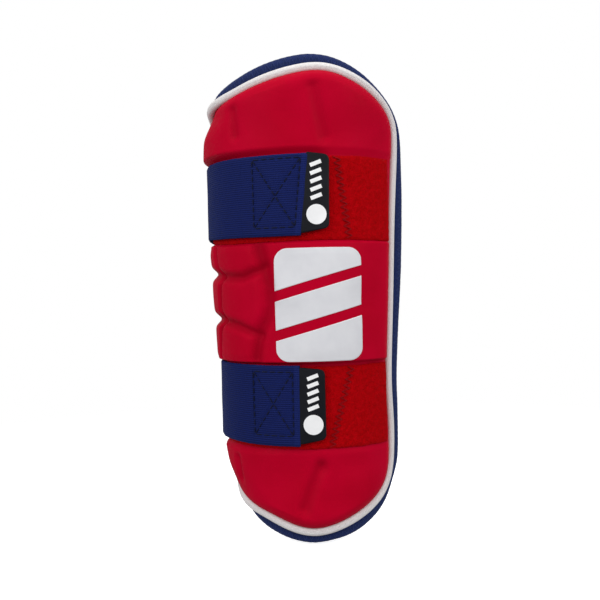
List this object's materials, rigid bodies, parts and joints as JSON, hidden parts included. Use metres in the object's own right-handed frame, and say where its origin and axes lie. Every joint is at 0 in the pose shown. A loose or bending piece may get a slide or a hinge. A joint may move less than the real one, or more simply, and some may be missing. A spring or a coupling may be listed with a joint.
{
  "type": "forearm guard",
  "caption": "Padded wrap-round forearm guard: moulded front pad with piped edge, padded liner and elastic straps that fasten with hook-and-loop.",
  "frame": {"origin": "centre of the upper strap loop, on the limb axis", "axes": "+Z along the limb towards the wider elbow end, -Y out of the padded printed face, +X towards the pad edge that the straps are sewn under"},
  "size_m": [0.1056, 0.1015, 0.2437],
  "materials": {
    "cover_skin": "smooth fine-knit stretch skin bonded over the moulded pad, soft satin",
    "loop_pile": "brushed loop pile, matt and slightly fuzzy",
    "pile_thread": "tonal sewing thread",
    "elastic": "ribbed woven elastic webbing, dull sheen",
    "thread_dark": "dark sewing thread",
    "hook_tape": "dense moulded hooks on a woven backing",
    "liner_fabric": "padded knit lining with a sewn edge",
    "binding_fabric": "folded knit edge binding with overlock thread",
    "piping_tape": "off-white woven piping tape",
    "cord_core": "twisted filler cord",
    "foam": "closed-cell moulded impact foam",
    "base_sheet": "thin soft foam sheet",
    "plate": "moulded flexible plate",
    "tab_rubber": "moulded soft rubber, matt",
    "print_white": "heat-pressed print film, satin"
  },
  "bodies": {
    "root": {"face_cover": "cover_skin", "foam_top_dome": "foam", "foam_front_block": "foam", "foam_bottom_dome": "foam", "flex_pods_inner": "foam", "flex_pods_outer": "foam", "channel_foam": "foam", "base_foam": "base_sheet", "shield_plate": "plate", "back_liner": "liner_fabric", "edge_binding": "binding_fabric", "piping_cover": "piping_tape", "piping_cord": "cord_core", "front_emblem": "print_white", "upper_loop_strip": "loop_pile", "upper_zigzag_stitch": "pile_thread", "upper_strap_anchor": "elastic", "lower_loop_strip": "loop_pile", "lower_zigzag_stitch": "pile_thread", "lower_strap_anchor": "elastic"},
    "upper_back_a": {"upper_strap_back_a": "elastic"},
    "upper_back_b": {"upper_strap_back_b": "elastic"},
    "upper_back_c": {"upper_strap_back_c": "elastic"},
    "upper_side_a": {"upper_strap_side_a": "elastic"},
    "upper_side_b": {"upper_strap_side_b": "elastic"},
    "upper_end": {"upper_strap_end": "elastic", "upper_hook_patch": "hook_tape", "upper_box_stitch": "thread_dark"},
    "upper_tab": {"upper_pull_tab": "tab_rubber", "upper_tab_badge": "print_white"},
    "lower_back_a": {"lower_strap_back_a": "elastic"},
    "lower_back_b": {"lower_strap_back_b": "elastic"},
    "lower_back_c": {"lower_strap_back_c": "elastic"},
    "lower_side_a": {"lower_strap_side_a": "elastic"},
    "lower_side_b": {"lower_strap_side_b": "elastic"},
    "lower_end": {"lower_strap_end": "elastic", "lower_hook_patch": "hook_tape", "lower_box_stitch": "thread_dark"},
    "lower_tab": {"lower_pull_tab": "tab_rubber", "lower_tab_badge": "print_white"}
  },
  "joints": [
    {"name": "upper_strap_root_bend", "type": "hinge", "parent": "root", "child": "upper_back_a", "pos_m": [0.04052, -0.01316, 0], "axis": [0, 0, -1], "range_deg": [0, 55.52]},
    {"name": "upper_strap_back_bend_a", "type": "hinge", "parent": "upper_back_a", "child": "upper_back_b", "pos_m": [0.03861, 0.018, 0], "axis": [0, 0, -1], "range_deg": [0, 40.47]},
    {"name": "upper_strap_back_bend_b", "type": "hinge", "parent": "upper_back_b", "child": "upper_back_c", "pos_m": [0.01596, 0.0395, 0], "axis": [0, 0, -1], "range_deg": [0, 45.51]},
    {"name": "upper_strap_unwrap", "type": "hinge", "parent": "upper_back_c", "child": "upper_side_a", "pos_m": [-0.05348, 0.01304, 0], "axis": [0, 0, -1], "range_deg": [0, 70]},
    {"name": "upper_strap_side_bend", "type": "hinge", "parent": "upper_side_a", "child": "upper_side_b", "pos_m": [-0.05264, -0.0161, 0], "axis": [0, 0, -1], "range_deg": [0, 35.5]},
    {"name": "upper_strap_end_peel", "type": "hinge", "parent": "upper_side_b", "child": "upper_end", "pos_m": [-0.03684, -0.04091, 0], "axis": [0, 0, -1], "range_deg": [0, 80]},
    {"name": "upper_pull_tab_lift", "type": "hinge", "parent": "upper_end", "child": "upper_tab", "pos_m": [-0.00288, -0.05498, 0], "axis": [0, 0, -1], "range_deg": [0, 45]},
    {"name": "lower_strap_root_bend", "type": "hinge", "parent": "root", "child": "lower_back_a", "pos_m": [0.03567, -0.01159, -0.1044], "axis": [0, 0, -1], "range_deg": [0, 55.52]},
    {"name": "lower_strap_back_bend_a", "type": "hinge", "parent": "lower_back_a", "child": "lower_back_b", "pos_m": [0.03399, 0.01585, -0.1044], "axis": [0, 0, -1], "range_deg": [0, 40.47]},
    {"name": "lower_strap_back_bend_b", "type": "hinge", "parent": "lower_back_b", "child": "lower_back_c", "pos_m": [0.01405, 0.03477, -0.1044], "axis": [0, 0, -1], "range_deg": [0, 45.51]},
    {"name": "lower_strap_unwrap", "type": "hinge", "parent": "lower_back_c", "child": "lower_side_a", "pos_m": [-0.04874, 0.01023, -0.1044], "axis": [0, 0, -1], "range_deg": [0, 70]},
    {"name": "lower_strap_side_bend", "type": "hinge", "parent": "lower_side_a", "child": "lower_side_b", "pos_m": [-0.04762, -0.01456, -0.1044], "axis": [0, 0, -1], "range_deg": [0, 35.5]},
    {"name": "lower_strap_end_peel", "type": "hinge", "parent": "lower_side_b", "child": "lower_end", "pos_m": [-0.03332, -0.03701, -0.1044], "axis": [0, 0, -1], "range_deg": [0, 80]},
    {"name": "lower_pull_tab_lift", "type": "hinge", "parent": "lower_end", "child": "lower_tab", "pos_m": [-0.00779, -0.04919, -0.1044], "axis": [0, 0, -1], "range_deg": [0, 45]}
  ],
  "couplings": [
    {"joint": "upper_strap_root_bend", "follows": "upper_strap_unwrap", "ratio": 0.786},
    {"joint": "upper_strap_back_bend_a", "follows": "upper_strap_unwrap", "ratio": 0.571},
    {"joint": "upper_strap_back_bend_b", "follows": "upper_strap_unwrap", "ratio": 0.643},
    {"joint": "upper_strap_side_bend", "follows": "upper_strap_unwrap", "ratio": 0.5},
    {"joint": "lower_strap_root_bend", "follows": "lower_strap_unwrap", "ratio": 0.786},
    {"joint": "lower_strap_back_bend_a", "follows": "lower_strap_unwrap", "ratio": 0.571},
    {"joint": "lower_strap_back_bend_b", "follows": "lower_strap_unwrap", "ratio": 0.643},
    {"joint": "lower_strap_side_bend", "follows": "lower_strap_unwrap", "ratio": 0.5}
  ]
}
